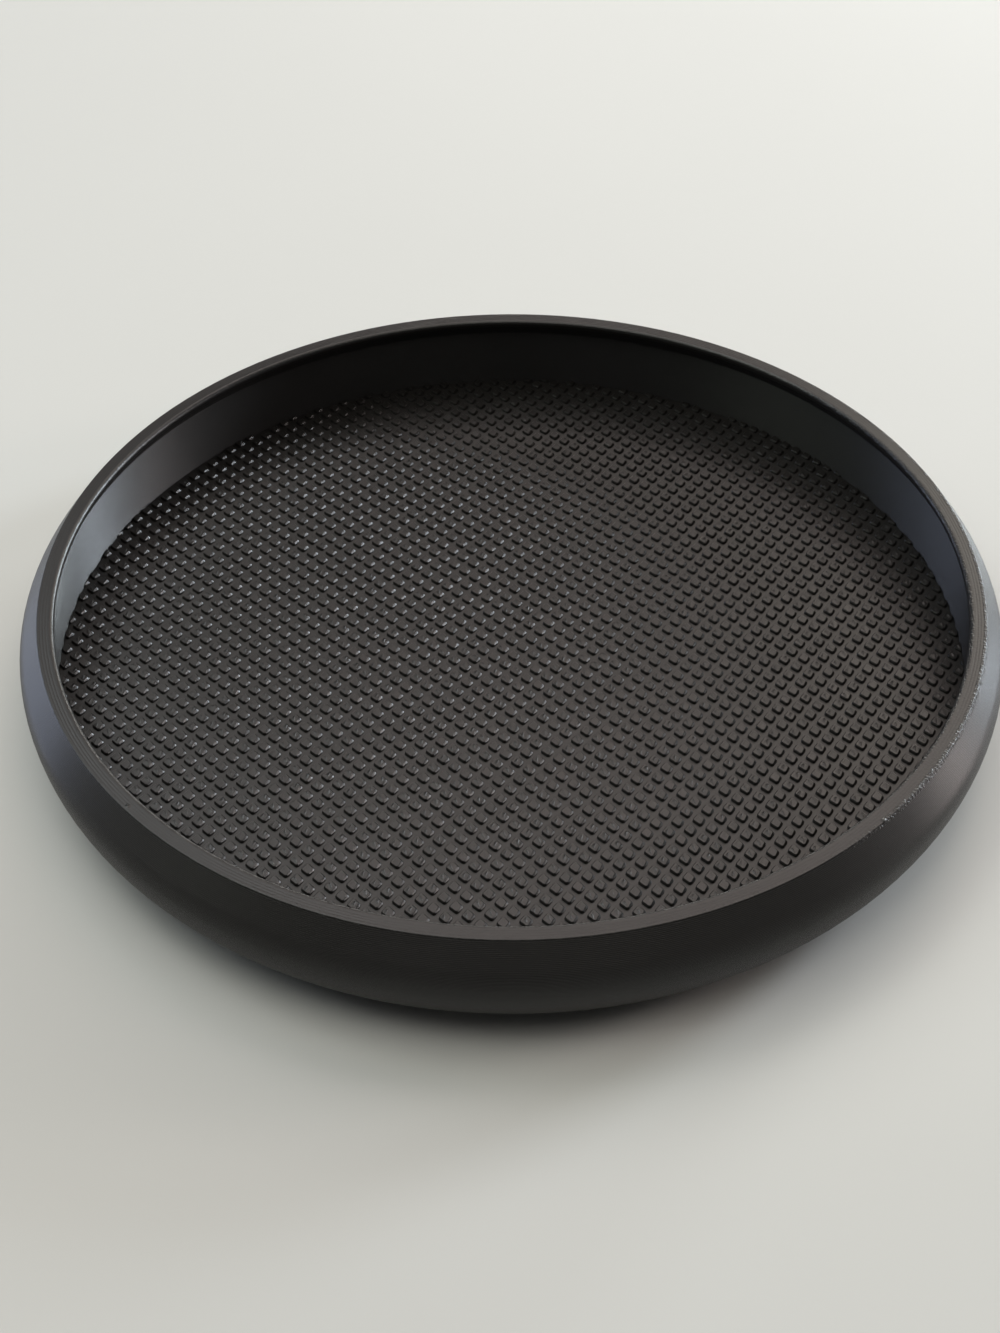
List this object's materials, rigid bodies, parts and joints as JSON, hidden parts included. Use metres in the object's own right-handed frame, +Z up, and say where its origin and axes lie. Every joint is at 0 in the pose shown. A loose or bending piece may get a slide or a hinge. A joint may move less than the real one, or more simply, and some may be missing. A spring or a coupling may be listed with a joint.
{
  "type": "catchall tray",
  "caption": "Round shallow catchall tray with a flat narrow rim, a wall that flares and curls under, and a studded mat on its floor for keys, coins and other small things.",
  "frame": {"origin": "on the table, under the middle of the round tray", "axes": "+Z up out of the open well; the tray is round, so X and Y only place the four feet, which lie between them"},
  "size_m": [0.15, 0.15, 0.019],
  "materials": {
    "tray_plastic": "satin printed plastic with fine layer lines",
    "mat_rubber": "flexible printed sheet with raised square studs",
    "foot_rubber": "matte"
  },
  "bodies": {
    "root": {"tray_body": "tray_plastic", "floor_mat": "mat_rubber", "foot_front_left": "foot_rubber", "foot_front_right": "foot_rubber", "foot_back_left": "foot_rubber", "foot_back_right": "foot_rubber"}
  },
  "joints": []
}
